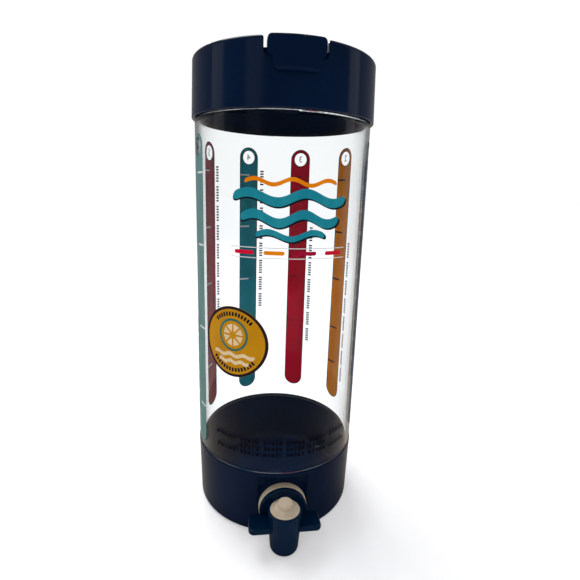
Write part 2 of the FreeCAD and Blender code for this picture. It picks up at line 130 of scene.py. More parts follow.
class Recipe:
    """The shader nodes of one material, or of the world."""

    def __init__(self, owner: bpy.types.ID) -> None:
        """Starts with an output and the coordinates, and nothing else.

        Args:
            owner: The material or the world.
        """
        owner.use_nodes = True
        self.owner = owner
        self.tree = owner.node_tree
        self.tree.nodes.clear()
        kind = "World" if isinstance(owner, bpy.types.World) else "Material"
        self.output = self.add(f"ShaderNodeOutput{kind}", {})
        self.coords = self.add("ShaderNodeTexCoord", {}).outputs

    def add(self, kind: str, sockets: dict, **settings: object) -> bpy.types.Node:
        """Adds a node, sets it and links it.

        Args:
            kind: The node's type.
            sockets: A value or an output for each named or numbered input.
            settings: The node's own properties.

        Returns:
            The node.
        """
        node = self.tree.nodes.new(kind)
        for key, value in settings.items():
            setattr(node, key, value)
        for key, value in sockets.items():
            if isinstance(value, Socket):
                self.tree.links.new(value, node.inputs[key])
            elif isinstance(value, tuple) and len(value) == 3 and node.inputs[key].type == "RGBA":
                node.inputs[key].default_value = (*value, 1.0)
            else:
                node.inputs[key].default_value = value
        return node

    def noise(self, pattern: Pattern) -> Socket:
        """Cloudy noise over the surface.

        Args:
            pattern: The noise's pattern.

        Returns:
            The noise, 0 to 1.
        """
        placed = self.add("ShaderNodeMapping", {"Vector": self.coords["Object"], "Scale": pattern.stretch})
        sockets = {"Vector": placed.outputs[0], "Scale": pattern.scale, "Detail": pattern.detail}
        return self.add("ShaderNodeTexNoise", sockets).outputs[0]

    def show(self, pattern: Pattern, given: Pair = (0.0, 1.0)) -> Socket:
        """Turns the part of a pattern that shows into another range.

        Args:
            pattern: The pattern.
            given: What the start and end of that part become.

        Returns:
            The new value.
        """
        return self.spread(self.noise(pattern), pattern.shown, given)

    def spread(self, value: Socket, taken: Pair, given: Pair = (0.0, 1.0), kind: str = "LINEAR") -> Socket:
        """Turns one range of a value into another.

        Args:
            value: The value.
            taken: Where the input range starts and ends.
            given: What its start and end become.
            kind: How the values between them are worked out.

        Returns:
            The new value.
        """
        sockets = dict(enumerate((value, *taken, *given)))
        return self.add("ShaderNodeMapRange", sockets, interpolation_type=kind).outputs[0]

    def reckon(self, operation: str, first: Socket, second: Socket | float) -> Socket:
        """Works out one number from two.

        Args:
            operation: The Math node's operation.
            first: The first number.
            second: The second number.

        Returns:
            The result.
        """
        return self.add("ShaderNodeMath", {0: first, 1: second}, operation=operation).outputs[0]

    def shade(self, share: Socket, first: Colour, second: Colour) -> Socket:
        """Mixes two colours.

        Args:
            share: How much of the second shows.
            first: The first colour.
            second: The second colour.

        Returns:
            The mixed colour.
        """
        # A Mix node has sockets for each kind of value, and these are its factor, colours and result.
        sockets = {0: share, 6: first, 7: second}
        return self.add("ShaderNodeMix", sockets, data_type="RGBA").outputs[2]

    def either(self, share: Socket, first: bpy.types.Node, second: bpy.types.Node) -> bpy.types.Node:
        """Mixes two shaders.

        Args:
            share: How much of the second shows.
            first: The first shader.
            second: The second shader.

        Returns:
            The mixed shader.
        """
        return self.add("ShaderNodeMixShader", {0: share, 1: first.outputs[0], 2: second.outputs[0]})

    def relief(self, pattern: Relief) -> Socket:
        """Fine relief.

        Args:
            pattern: Its pattern.

        Returns:
            The bent normal.
        """
        sockets = {"Height": self.noise(pattern), "Strength": pattern.strength, "Distance": pattern.depth}
        return self.add("ShaderNodeBump", sockets).outputs[0]

    def finish(self, shader: bpy.types.Node) -> bpy.types.ID:
        """Links a shader to the output.

        Args:
            shader: The shader.

        Returns:
            The material or the world.
        """
        self.tree.links.new(shader.outputs[0], self.output.inputs["Surface"])
        return self.owner


@dataclass(frozen=True)
class MouldedPlastic:
    """Opaque moulded plastic with faint clouds, wiped smudges and fine scratches."""

    name: str
    colour: Colour
    worn: Colour
    rough: Pair
    shine: float
    scratch_rough: float
    bend: float = 1.5
    clouds: Pattern = Pattern(38.0, 4.0, (0.35, 0.75))
    smudges: Pattern = Pattern(70.0, 5.0, (0.38, 0.68), (1, 1, 0.45))
    scratches: Pattern = Pattern(900.0, 2.0, (0.62, 0.8), (1, 1, 0.06))
    dents: Relief = Relief(90.0, 2.0, strength=0.04, depth=0.2 * MM)

    def build(self) -> bpy.types.Material:
        """Makes the material."""
        recipe = Recipe(bpy.data.materials.new(self.name))
        smudges = recipe.show(self.smudges, self.rough)
        scratches = recipe.show(self.scratches, (0.0, self.scratch_rough))
        shader = recipe.add("ShaderNodeBsdfPrincipled", {
            "Base Color": recipe.shade(recipe.show(self.clouds), self.colour, self.worn),
            "Roughness": recipe.reckon("ADD", smudges, scratches),
            "Normal": recipe.relief(self.dents),
            "IOR": self.bend,
            "Specular IOR Level": self.shine,
        })
        return recipe.finish(shader)


@dataclass(frozen=True)
class ClearPlastic:
    """Clear wall with wiping marks and hairline scratches that lets lamplight through."""

    name: str
    tint: Colour
    edge: Colour
    bend: float = 1.44
    glare: float = 0.22
    edge_shown: Pair = (0.72, 0.97)
    wiping: Pattern = Pattern(46.0, 6.0, (0.55, 0.8), (1, 1, 0.5))
    wiping_rough: Pair = (0.0, 0.012)
    hairlines: Pattern = Pattern(260.0, 3.0, (0.68, 0.8), (1, 1, 0.09))
    hairline_rough: Pair = (0.0, 0.07)
    ripples: Relief = Relief(24.0, 2.0, strength=0.05, depth=0.4 * MM)

    def build(self) -> bpy.types.Material:
        """Makes the material."""
        recipe = Recipe(bpy.data.materials.new(self.name))
        wiping = recipe.show(self.wiping, self.wiping_rough)
        hairlines = recipe.show(self.hairlines, self.hairline_rough)
        facing = recipe.add("ShaderNodeLayerWeight", {}).outputs["Facing"]
        shader = recipe.add("ShaderNodeBsdfPrincipled", {
            "Base Color": recipe.shade(recipe.spread(facing, self.edge_shown), self.tint, self.edge),
            "Roughness": recipe.reckon("ADD", wiping, hairlines),
            "Normal": recipe.relief(self.ripples),
            "IOR": self.bend,
            "Specular Tint": (self.glare, self.glare, self.glare),
            "Transmission Weight": 1.0,
        })
        through = recipe.add("ShaderNodeBsdfTransparent", {"Color": self.tint})
        is_shadow = recipe.add("ShaderNodeLightPath", {}).outputs["Is Shadow Ray"]
        return recipe.finish(recipe.either(is_shadow, shader, through))


@dataclass(frozen=True)
class SoftRubber:
    """Smooth rubber with a dull skin, faint stains and a fine tooth."""

    name: str
    colour: Colour
    stain: Colour
    rough: Pair = (0.42, 0.62)
    bend: float = 1.45
    milkiness: float = 0.08
    milk_depth: float = 2.0 * MM
    stains: Pattern = Pattern(210.0, 5.0, (0.45, 0.8))
    dullness: Pattern = Pattern(520.0, 2.0, (0.3, 0.7))
    tooth: Relief = Relief(1800.0, 2.0, strength=0.15, depth=0.1 * MM)

    def build(self) -> bpy.types.Material:
        """Makes the material."""
        recipe = Recipe(bpy.data.materials.new(self.name))
        shader = recipe.add("ShaderNodeBsdfPrincipled", {
            "Base Color": recipe.shade(recipe.show(self.stains), self.colour, self.stain),
            "Roughness": recipe.show(self.dullness, self.rough),
            "Normal": recipe.relief(self.tooth),
            "IOR": self.bend,
            "Subsurface Weight": self.milkiness,
            "Subsurface Scale": self.milk_depth,
        })
        return recipe.finish(shader)


@dataclass(frozen=True)
class PrintInk:
    """Screen-printed ink with an uneven film and tiny pinholes."""

    name: str
    colour: Colour
    thin: Colour
    rough: Pair = (0.3, 0.45)
    shine: float = 0.06
    film: Pattern = Pattern(120.0, 4.0, (0.4, 0.72), (1, 1, 0.3))
    dullness: Pattern = Pattern(900.0, 2.0, (0.3, 0.7))
    pinholes: Relief = Relief(2400.0, 2.0, strength=0.1, depth=0.05 * MM)

    def build(self) -> bpy.types.Material:
        """Makes the material."""
        recipe = Recipe(bpy.data.materials.new(self.name))
        shader = recipe.add("ShaderNodeBsdfPrincipled", {
            "Base Color": recipe.shade(recipe.show(self.film), self.colour, self.thin),
            "Roughness": recipe.show(self.dullness, self.rough),
            "Normal": recipe.relief(self.pinholes),
            "Specular IOR Level": self.shine,
        })
        return recipe.finish(shader)


@dataclass(frozen=True)
class DrawnSteel:
    """Drawn wire with lines along its length, which runs along X."""

    name: str
    colour: Colour
    line_share: float = 0.75
    rough: Pair = (0.2, 0.4)
    lines: Relief = Relief(2600.0, 3.0, (0.3, 0.7), (0.03, 1, 1), strength=0.2, depth=0.05 * MM)

    def build(self) -> bpy.types.Material:
        """Makes the material."""
        recipe = Recipe(bpy.data.materials.new(self.name))
        dark = tuple(self.line_share * share for share in self.colour)
        shader = recipe.add("ShaderNodeBsdfPrincipled", {
            "Base Color": recipe.shade(recipe.noise(self.lines), self.colour, dark),
            "Roughness": recipe.show(self.lines, self.rough),
            "Metallic": 1.0,
            "Normal": recipe.relief(self.lines),
        })
        return recipe.finish(shader)


@dataclass(frozen=True)
class StudioPaper:
    """Plain pale floor, which is dimmer where a glossy surface mirrors it."""

    name: str
    colour: Colour
    mirrored: Colour
    rough: float = 0.85
    shine: float = 0.1
    glow: float = 0.48

    def build(self) -> bpy.types.Material:
        """Makes the material."""
        recipe = Recipe(bpy.data.materials.new(self.name))
        paper = recipe.add("ShaderNodeBsdfPrincipled", {
            "Base Color": self.colour,
            "Roughness": self.rough,
            "Specular IOR Level": self.shine,
            "Emission Color": self.colour,
            "Emission Strength": self.glow,
        })
        dim = recipe.add("ShaderNodeBsdfPrincipled", {"Base Color": self.mirrored, "Roughness": self.rough})
        depth = recipe.add("ShaderNodeLightPath", {}).outputs["Glossy Depth"]
        is_mirrored = recipe.reckon("GREATER_THAN", depth, MIRRORED)
        return recipe.finish(recipe.either(is_mirrored, paper, dim))


class Shade(Enum):
    """The finishes, by the piece or print that wears them."""

    NAVY = MouldedPlastic("gloss_navy", srgb(1, 19, 45), srgb(3, 25, 53), (0.08, 0.2), 0.13, 0.05)
    TAP_NAVY = MouldedPlastic("tap_navy", srgb(0, 26, 52), srgb(2, 33, 60), (0.05, 0.14), 0.16, 0.04)
    CLEAR = ClearPlastic("clear_wall", (0.965, 0.98, 0.985), (0.42, 0.56, 0.66))
    CREAM = SoftRubber("cream_skin", srgb(214, 196, 172), srgb(206, 186, 158))
    GREY = SoftRubber("seal_grey", srgb(70, 72, 78), srgb(50, 50, 54))
    WHITE = MouldedPlastic("stem_white", srgb(226, 226, 220), srgb(206, 204, 196), (0.35, 0.5), 0.4, 0.05)
    STEEL = DrawnSteel("hinge_wire", srgb(190, 192, 196))
    YELLOW = PrintInk("sticker_yellow", srgb(204, 142, 8), srgb(192, 130, 6), (0.35, 0.5))
    BORDER = PrintInk("sticker_border", srgb(34, 26, 30), srgb(44, 36, 38))
    PRINT_GREEN = PrintInk("sticker_green", srgb(52, 104, 96), srgb(64, 118, 104))
    PRINT_CREAM = PrintInk("sticker_cream", srgb(236, 212, 168), srgb(224, 196, 150))
    MAROON = PrintInk("ink_maroon", srgb(160, 2, 50), srgb(174, 14, 62))
    TEAL = PrintInk("ink_teal", srgb(24, 134, 152), srgb(40, 148, 162))
    CRIMSON = PrintInk("ink_crimson", srgb(208, 2, 44), srgb(220, 16, 56))
    ORANGE = PrintInk("ink_orange", srgb(238, 130, 0), srgb(244, 144, 10))
    PALE_TEAL = PrintInk("ink_pale_teal", srgb(92, 134, 132), srgb(112, 150, 146))
    SLATE = PrintInk("ink_slate", srgb(70, 96, 124), srgb(84, 108, 134))
    INK_WHITE = PrintInk("ink_white", srgb(232, 234, 232), srgb(216, 220, 220))
    INK_DARK = PrintInk("ink_dark", srgb(14, 18, 28), srgb(24, 28, 38))
    INK_NAVY = PrintInk("ink_navy", srgb(2, 4, 20), srgb(4, 8, 28))

    def material(self) -> bpy.types.Material:
        """Returns the finish's material, made on its first use."""
        return bpy.data.materials.get(self.value.name) or self.value.build()


def clear_selection() -> None:
    """Deselects every object."""
    for item in bpy.context.view_layer.objects:
        item.select_set(False)


def pick(piece: Piece) -> None:
    """Makes one piece the only selected object and the active one.

    Args:
        piece: The piece.
    """
    clear_selection()
    piece.select_set(True)
    bpy.context.view_layer.objects.active = piece


def settle(piece: Piece) -> None:
    """Puts a piece's place into its mesh, so that its object sits at the origin.

    Args:
        piece: The piece.
    """
    pick(piece)
    bpy.ops.object.transform_apply(location=True, rotation=True, scale=True)


def apply_all(piece: Piece) -> None:
    """Applies every modifier of a piece.

    Args:
        piece: The piece.
    """
    pick(piece)
    for modifier in list(piece.modifiers):
        bpy.ops.object.modifier_apply(modifier=modifier.name)


def close_up(piece: Piece, smooth_degrees: float = 35.0) -> None:
    """Merges doubles, turns the normals outwards and smooths the shallow edges.

    Args:
        piece: The piece.
        smooth_degrees: Edges under this angle are shaded smooth.
    """
    pick(piece)
    bpy.ops.object.mode_set(mode="EDIT")
    bpy.ops.mesh.select_all(action="SELECT")
    bpy.ops.mesh.remove_doubles(threshold=MERGED)
    bpy.ops.mesh.normals_make_consistent(inside=False)
    bpy.ops.object.mode_set(mode="OBJECT")
    bpy.ops.object.shade_smooth_by_angle(angle=math.radians(smooth_degrees))


def dress(piece: Piece, name: str, shade: Shade) -> None:
    """Names a finished piece, gives it its finish and hangs it on the vessel.

    Args:
        piece: The piece.
        name: Its name.
        shade: Its finish.
    """
    piece.name = name
    piece.data.name = name
    piece.data.materials.clear()
    piece.data.materials.append(shade.material())
    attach(piece, VESSEL)
    log.info("%s in %s", name, shade.value.name)


@dataclass
class MouldedParts:
    """The carried parts, each with its finish."""

    finishes: dict[str, Shade] = field(default_factory=lambda: {
        "base_cup": Shade.NAVY,
        "lid_body": Shade.NAVY,
        "flip_cover": Shade.NAVY,
        "tap_body": Shade.TAP_NAVY,
        "tap_nut": Shade.TAP_NAVY,
        "vessel_tube": Shade.CLEAR,
        "outer_washer": Shade.CREAM,
        "inner_washer": Shade.CREAM,
        "press_button": Shade.CREAM,
        "button_diaphragm": Shade.CREAM,
        "valve_plug": Shade.CREAM,
        "valve_stem": Shade.WHITE,
        "tube_seal": Shade.GREY,
        "lid_gasket": Shade.GREY,
        "cover_seal": Shade.GREY,
        "cover_hinge_pin": Shade.STEEL,
        "round_sticker": Shade.YELLOW,
    })

    def build(self) -> None:
        """Gives each carried part its material."""
        for node, shade in self.finishes.items():
            mesh = frame["nodes"][node].data
            mesh.materials.clear()
            mesh.materials.append(shade.material())
            log.info("%s in %s", node, shade.value.name)


@dataclass(frozen=True)
class Ribbon:
    """One wavy ribbon of ink, with its middle height and its sizes in millimetres."""

    name: str
    shade: Shade
    z: float
    width: float
    height: float
    swing: float
    waves: float


@dataclass
class WallFilm:
    """Sizes of the clear wall and its ink, and the ways to make a thin print on it.

    A print is drawn flat in front of the wall, laid on the wall's front and turned to its place.
    """

    slot: Slot = Slot.CLEAR
    wall_r: float = 54.0 * MM
    film: float = 0.03 * MM
    gap: float = 0.015 * MM
    bite: float = 0.02 * MM
    stand_off: float = 20.0 * MM
    column_w: float = 1.4 * MM
    # Just under 1, so that two round corners don't meet in one point.
    corner_share: float = 0.999
    corner_steps: int = 8
    disc_sides: int = 64
    guide_sides: int = 360
    guide_h: float = 600.0 * MM
    guide_z: float = 150.0 * MM
    cutter_h: float = 20.0 * MM

    def before(self, x: float, z: float) -> Point:
        """Returns the place in front of the wall that is this far sideways and this high."""
        return (x, -self.wall_r - self.stand_off, z)

    def plate(self, width: float, height: float, z: float, x: float = 0.0, corner: float = 0.0) -> Piece:
        """Adds a flat plate in front of the wall.

        Args:
            width: Its width.
            height: Its height.
            z: Its middle's height.
            x: Its middle, sideways.
            corner: The corners' radius, or 0.

        Returns:
            The plate.
        """
        clear_selection()
        bpy.ops.mesh.primitive_plane_add(size=1, location=self.before(x, z), rotation=UPRIGHT)
        piece = bpy.context.active_object
        piece.scale = (width, height, 1)
        settle(piece)
        if corner > 0:
            offset = corner * self.corner_share
            bpy.ops.object.mode_set(mode="EDIT")
            bpy.ops.mesh.select_all(action="SELECT")
            bpy.ops.mesh.bevel(offset=offset, segments=self.corner_steps, affect="VERTICES")
            bpy.ops.object.mode_set(mode="OBJECT")
        return piece

    def ring(self, radius: float, width: float, z: float) -> Piece:
        """Adds a flat ring in front of the wall.

        Args:
            radius: Its outer radius.
            width: Its width.
            z: Its middle's height.

        Returns:
            The ring.
        """
        clear_selection()
        bpy.ops.mesh.primitive_circle_add(vertices=self.disc_sides, radius=radius, fill_type="NGON",
                                          location=self.before(0, z), rotation=UPRIGHT)
        disc = bpy.context.active_object
        settle(disc)
        return self.border(disc, width)

    def border(self, piece: Piece, width: float) -> Piece:
        """Keeps only the border of a flat piece.

        Args:
            piece: The piece, a single face.
            width: The border's width.

        Returns:
            The piece.
        """
        pick(piece)
        bpy.ops.object.mode_set(mode="EDIT")
        bpy.ops.mesh.select_all(action="SELECT")
        bpy.ops.mesh.inset(thickness=width)
        bpy.ops.mesh.delete(type="FACE")
        bpy.ops.object.mode_set(mode="OBJECT")
        return piece

    def level(self, layer: int) -> float:
        """Radius of the inner side of a layer of ink, counted from the wall outwards.

        Args:
            layer: The layer, from 0.

        Returns:
            The radius.
        """
        return self.wall_r - self.bite + layer * (self.film + self.gap)

    def cut_columns(self, piece: Piece) -> None:
        """Cuts a flat piece into upright columns, so that it can follow the wall.

        Args:
            piece: The piece.
        """
        low = min(vertex.co.x for vertex in piece.data.vertices)
        high = max(vertex.co.x for vertex in piece.data.vertices)
        count = max(2, math.ceil((high - low) / self.column_w))
        pick(piece)
        bpy.ops.object.mode_set(mode="EDIT")
        for place in range(1, count):
            cut = low + (high - low) * place / count
            bpy.ops.mesh.select_all(action="SELECT")
            bpy.ops.mesh.bisect(plane_co=(cut, 0, 0), plane_no=(1, 0, 0))
        bpy.ops.object.mode_set(mode="OBJECT")

    def repeat(self, piece: Piece, count: int, step: Point) -> None:
        """Repeats a flat piece in a straight row.

        Args:
            piece: The piece.
            count: How many there are in all.
            step: The way from one to the next.
        """
        row = piece.modifiers.new("row", "ARRAY")
        row.count = count
        row.use_relative_offset = False
        row.use_constant_offset = True
        row.constant_offset_displace = step
        apply_all(piece)

    def punch(self, piece: Piece, radius: float, z: float) -> None:
        """Cuts a round hole into a print that lies on the front of the wall.

        Args:
            piece: The print.
            radius: The hole's radius.
            z: The hole's height.
        """
        clear_selection()
        bpy.ops.mesh.primitive_cylinder_add(vertices=self.disc_sides, radius=radius, depth=self.cutter_h,
                                            location=(0, -self.wall_r, z), rotation=UPRIGHT)
        cutter = bpy.context.active_object
        settle(cutter)
        cut = piece.modifiers.new("hole", "BOOLEAN")
        cut.object = cutter
        cut.operation = "DIFFERENCE"
        apply_all(piece)
        bpy.data.objects.remove(cutter)

    def put_on(self, name: str, shade: Shade, piece: Piece, inner_r: float, turn: float,
               film: float = 0.0, hole: Pair = (0.0, 0.0)) -> None:
        """Lays a flat piece on the wall, gives it the thickness of a film and dresses it.

        Args:
            name: The print's name.
            shade: Its ink.
            piece: The flat piece.
            inner_r: The radius of its inner side.
            turn: Its place round the wall in degrees from the front, positive to +X.
            film: Its thickness, or 0 for one film of ink.
            hole: Radius and height of a round hole in it, or 0.
        """
        self.cut_columns(piece)
        clear_selection()
        bpy.ops.mesh.primitive_cylinder_add(vertices=self.guide_sides, radius=inner_r, depth=self.guide_h,
                                            end_fill_type="NOTHING", location=(0, 0, self.guide_z))
        guide = bpy.context.active_object
        lay = piece.modifiers.new("lay", "SHRINKWRAP")
        lay.target = guide
        lay.wrap_method = "PROJECT"
        lay.use_project_y = True
        lay.use_positive_direction = True
        lay.use_negative_direction = False
        skin = piece.modifiers.new("skin", "SOLIDIFY")
        skin.thickness = film or self.film
        skin.offset = 1.0
        apply_all(piece)
        bpy.data.objects.remove(guide)
        if hole[0] > 0:
            self.punch(piece, *hole)
        piece.rotation_euler = (0, 0, math.radians(turn))
        settle(piece)
        close_up(piece)
        dress(piece, name, shade)

    def wave(self, ribbon: Ribbon, inner_r: float, turn: float) -> None:
        """Prints a wavy ribbon.

        Args:
            ribbon: The ribbon.
            inner_r: The radius of its inner side.
            turn: Its place round the wall in degrees from the front.
        """
        width, height = ribbon.width * MM, ribbon.height * MM
        piece = self.plate(width, height, ribbon.z * MM, corner=height / 2)
        self.cut_columns(piece)
        places = sorted({round(vertex.co.x, 6) for vertex in piece.data.vertices})
        for x in places:
            for vertex in piece.data.vertices:
                vertex.select = abs(vertex.co.x - x) < ALIGNED
            for edge in piece.data.edges:
                edge.select = all(piece.data.vertices[i].select for i in edge.vertices)
            for face in piece.data.polygons:
                face.select = False
            shift = ribbon.swing * MM * math.sin(2 * math.pi * ribbon.waves * (x / width + 0.5))
            pick(piece)
            bpy.ops.object.mode_set(mode="EDIT")
            bpy.ops.transform.translate(value=(0, 0, shift))
            bpy.ops.object.mode_set(mode="OBJECT")
        self.put_on(ribbon.name, ribbon.shade, piece, inner_r, turn)


@dataclass(frozen=True)
class Bar:
    """One measure bar and the dashes beside it, with its heights in millimetres."""

    turn: float
    foot: float
    shade: Shade
    tick_shade: Shade
    ticks: tuple[float, ...]
    dashes_top: float
    words: int


@dataclass
class MeasureBars(WallFilm):
    """Six measure bars with round windows, numerals, tick marks and columns of dashes."""

    top: float = 243.4 * MM
    width: float = 14.4 * MM
    outline_w: float = 0.55 * MM
    window_r: float = 5.0 * MM
    window_drop: float = 6.9 * MM
    numeral_h: float = 6.2 * MM
    tick_share: float = 0.56
    tick_h: float = 1.1 * MM
    dash: Pair = (2.7 * MM, 1.15 * MM)
    dash_step: float = 1.9 * MM
    dashes_to_word: int = 6
    word_step: float = 13.6 * MM
    word_turn: float = 11.6
    bars: tuple[Bar, ...] = (
        Bar(71.1, 55.5, Shade.SLATE, Shade.INK_DARK, (222, 185, 150, 112, 84), 228, 10),
        Bar(114.7, 55.5, Shade.ORANGE, Shade.INK_DARK, (222, 185, 150, 112, 84), 178, 8),
        Bar(158.2, 54.2, Shade.CRIMSON, Shade.MAROON, (224, 190, 147, 110), 186, 7),
        Bar(201.8, 53.0, Shade.TEAL, Shade.INK_WHITE, (224, 186, 145, 108), 227, 8),
        Bar(245.3, 52.3, Shade.MAROON, Shade.INK_WHITE, (225, 187, 147, 85), 228, 8),
        Bar(288.9, 47.5, Shade.PALE_TEAL, Shade.INK_WHITE, (222, 180, 128, 75), 130, 5),
    )

    def numeral(self, text: str, z: float) -> Piece:
        """Adds a plain numeral in front of the wall.

        Args:
            text: The numeral.
            z: Its middle's height.

        Returns:
            The numeral as a flat mesh.
        """
        clear_selection()
        bpy.ops.object.text_add(location=self.before(0, z), rotation=UPRIGHT)
        piece = bpy.context.active_object
        piece.data.body = text
        piece.data.size = self.numeral_h
        piece.data.align_x = "CENTER"
        piece.data.align_y = "CENTER"
        pick(piece)
        bpy.ops.object.convert(target="MESH")
        piece = bpy.context.active_object
        settle(piece)
        return piece

    def capsule(self, foot: float, more: float = 0.0) -> Piece:
        """Adds a flat bar with round ends in front of the wall.

        Args:
            foot: The measure bar's lower end.
            more: How much wider and higher than the measure bar it is.

        Returns:
            The flat bar.
        """
        width = self.width + more
        return self.plate(width, self.top - foot + more, (self.top + foot) / 2, corner=width / 2)

    def measure_bar(self, number: int, bar: Bar) -> None:
        """Prints one measure bar with its outline, its round window and its numeral.

        Args:
            number: The bar's number.
            bar: The bar.
        """
        foot, edge = bar.foot * MM, self.outline_w
        window_z = self.top - self.window_drop
        self.put_on(f"measure_bar_{number}", bar.shade, self.capsule(foot), self.level(2), bar.turn,
                    hole=(self.window_r, window_z))
        outline = self.border(self.capsule(foot, edge), edge)
        self.put_on(f"measure_outline_{number}", Shade.INK_DARK, outline, self.level(0), bar.turn)
        window = self.ring(self.window_r + edge / 2, edge, window_z)
        self.put_on(f"measure_window_{number}", Shade.INK_DARK, window, self.level(0), bar.turn)
        numeral = self.numeral(str(number), window_z)
        self.put_on(f"measure_numeral_{number}", Shade.INK_DARK, numeral, self.level(2), bar.turn)

    def tick_marks(self, number: int, bar: Bar) -> None:
        """Prints a bar's tick marks, which go through the bar's film.

        Args:
            number: The bar's number.
            bar: The bar.
        """
        film = self.level(3) + self.film - self.level(1)
        width = self.width * self.tick_share
        for place, z in enumerate(bar.ticks, 1):
            tick = self.plate(width, self.tick_h, z * MM, x=(self.width - width) / 2)
            name = f"measure_tick_{number}_{place}"
            self.put_on(name, bar.tick_shade, tick, self.level(1), bar.turn, film)

    def dash_column(self, number: int, bar: Bar) -> None:
        """Prints the upright column of plain dashes beside a measure bar.

        Args:
            number: The bar's number.
            bar: The bar.
        """
        piece = self.plate(*self.dash, bar.dashes_top * MM)
        self.repeat(piece, self.dashes_to_word, (0, 0, -self.dash_step))
        self.repeat(piece, bar.words, (0, 0, -self.word_step))
        turn = bar.turn - self.word_turn
        self.put_on(f"dash_column_{number}", Shade.INK_DARK, piece, self.level(2), turn)

    def build(self) -> None:
        """Prints the six bars, then the columns beside them."""
        for number, bar in enumerate(self.bars, 1):
            self.measure_bar(number, bar)
            self.tick_marks(number, bar)
        for number, bar in enumerate(self.bars, 1):
            self.dash_column(number, bar)


@dataclass
class FrontPrint(WallFilm):
    """Rows of plain dashes near the base, and waves, lines and lozenges on the front of the wall."""

    dash: Pair = (1.65 * MM, 2.2 * MM)
    dash_step: float = 2.4 * MM
    dashes_to_word: int = 5
    word_step: float = 14.0 * MM
    rows: tuple[tuple[str, float, int], ...] = (
        ("dash_row_top", 64.6 * MM, 6), ("dash_row_middle", 60.4 * MM, 4), ("dash_row_foot", 56.2 * MM, 6))
    ribbons: tuple[Ribbon, ...] = (
        Ribbon("motif_wave_top", Shade.ORANGE, 217.5, 50, 2.2, 1.5, 2.5),
        Ribbon("motif_wave_high", Shade.TEAL, 209.5, 62, 5.0, 2.4, 2.0),
        Ribbon("motif_wave_low", Shade.TEAL, 198.5, 54, 5.0, 2.4, 2.0),
        Ribbon("motif_wave_foot", Shade.TEAL, 189.5, 38, 3.2, 1.8, 1.5),
    )
    # A teal wave's dark edge: how much lower and longer it is in millimetres, and its turn in degrees.
    edge_drop: float = 0.9
    edge_more: float = 1.0
    edge_turn: float = 0.6
    line: Pair = (64.0 * MM, 0.45 * MM)
    line_z: Pair = (177.0 * MM, 182.6 * MM)
    lozenge: Pair = (11.5 * MM, 2.2 * MM)
    lozenge_z: float = 179.9 * MM
    lozenges: tuple[tuple[float, Shade], ...] = (
        (-26.0 * MM, Shade.CRIMSON), (-9.0 * MM, Shade.ORANGE),
        (9.0 * MM, Shade.MAROON), (26.0 * MM, Shade.CRIMSON))

    def dash_row(self, name: str, z: float, words: int) -> None:
        """Prints a level row of plain dashes.

        Args:
            name: The row's name.
            z: Its height.
            words: How many groups of dashes it has.
        """
        length = (words - 1) * self.word_step + (self.dashes_to_word - 1) * self.dash_step
        piece = self.plate(*self.dash, z, x=-length / 2)
        self.repeat(piece, self.dashes_to_word, (self.dash_step, 0, 0))
        self.repeat(piece, words, (self.word_step, 0, 0))
        self.put_on(name, Shade.INK_NAVY, piece, self.level(0), 0.0)

    def motif(self) -> None:
        """Prints the waves, the two lines and the lozenges between them."""
        for ribbon in self.ribbons:
            if ribbon.shade is Shade.TEAL:
                edge = replace(ribbon, name=f"{ribbon.name}_edge", shade=Shade.INK_DARK,
                               z=ribbon.z - self.edge_drop, width=ribbon.width + self.edge_more)
                self.wave(edge, self.level(0), self.edge_turn)
            self.wave(ribbon, self.level(1), 0.0)
        for place, z in enumerate(self.line_z, 1):
            line = self.plate(*self.line, z)
            self.put_on(f"motif_line_{place}", Shade.INK_WHITE, line, self.level(0), 0.0)
        for place, (x, shade) in enumerate(self.lozenges, 1):
            mark = self.plate(*self.lozenge, self.lozenge_z, corner=self.lozenge[1] / 2)
            turn = math.degrees(x / self.wall_r)
            self.put_on(f"motif_lozenge_{place}", shade, mark, self.level(0), turn)

    def build(self) -> None:
        """Prints the rows of dashes and the motif."""
        for name, z, words in self.rows:
            self.dash_row(name, z, words)
        self.motif()


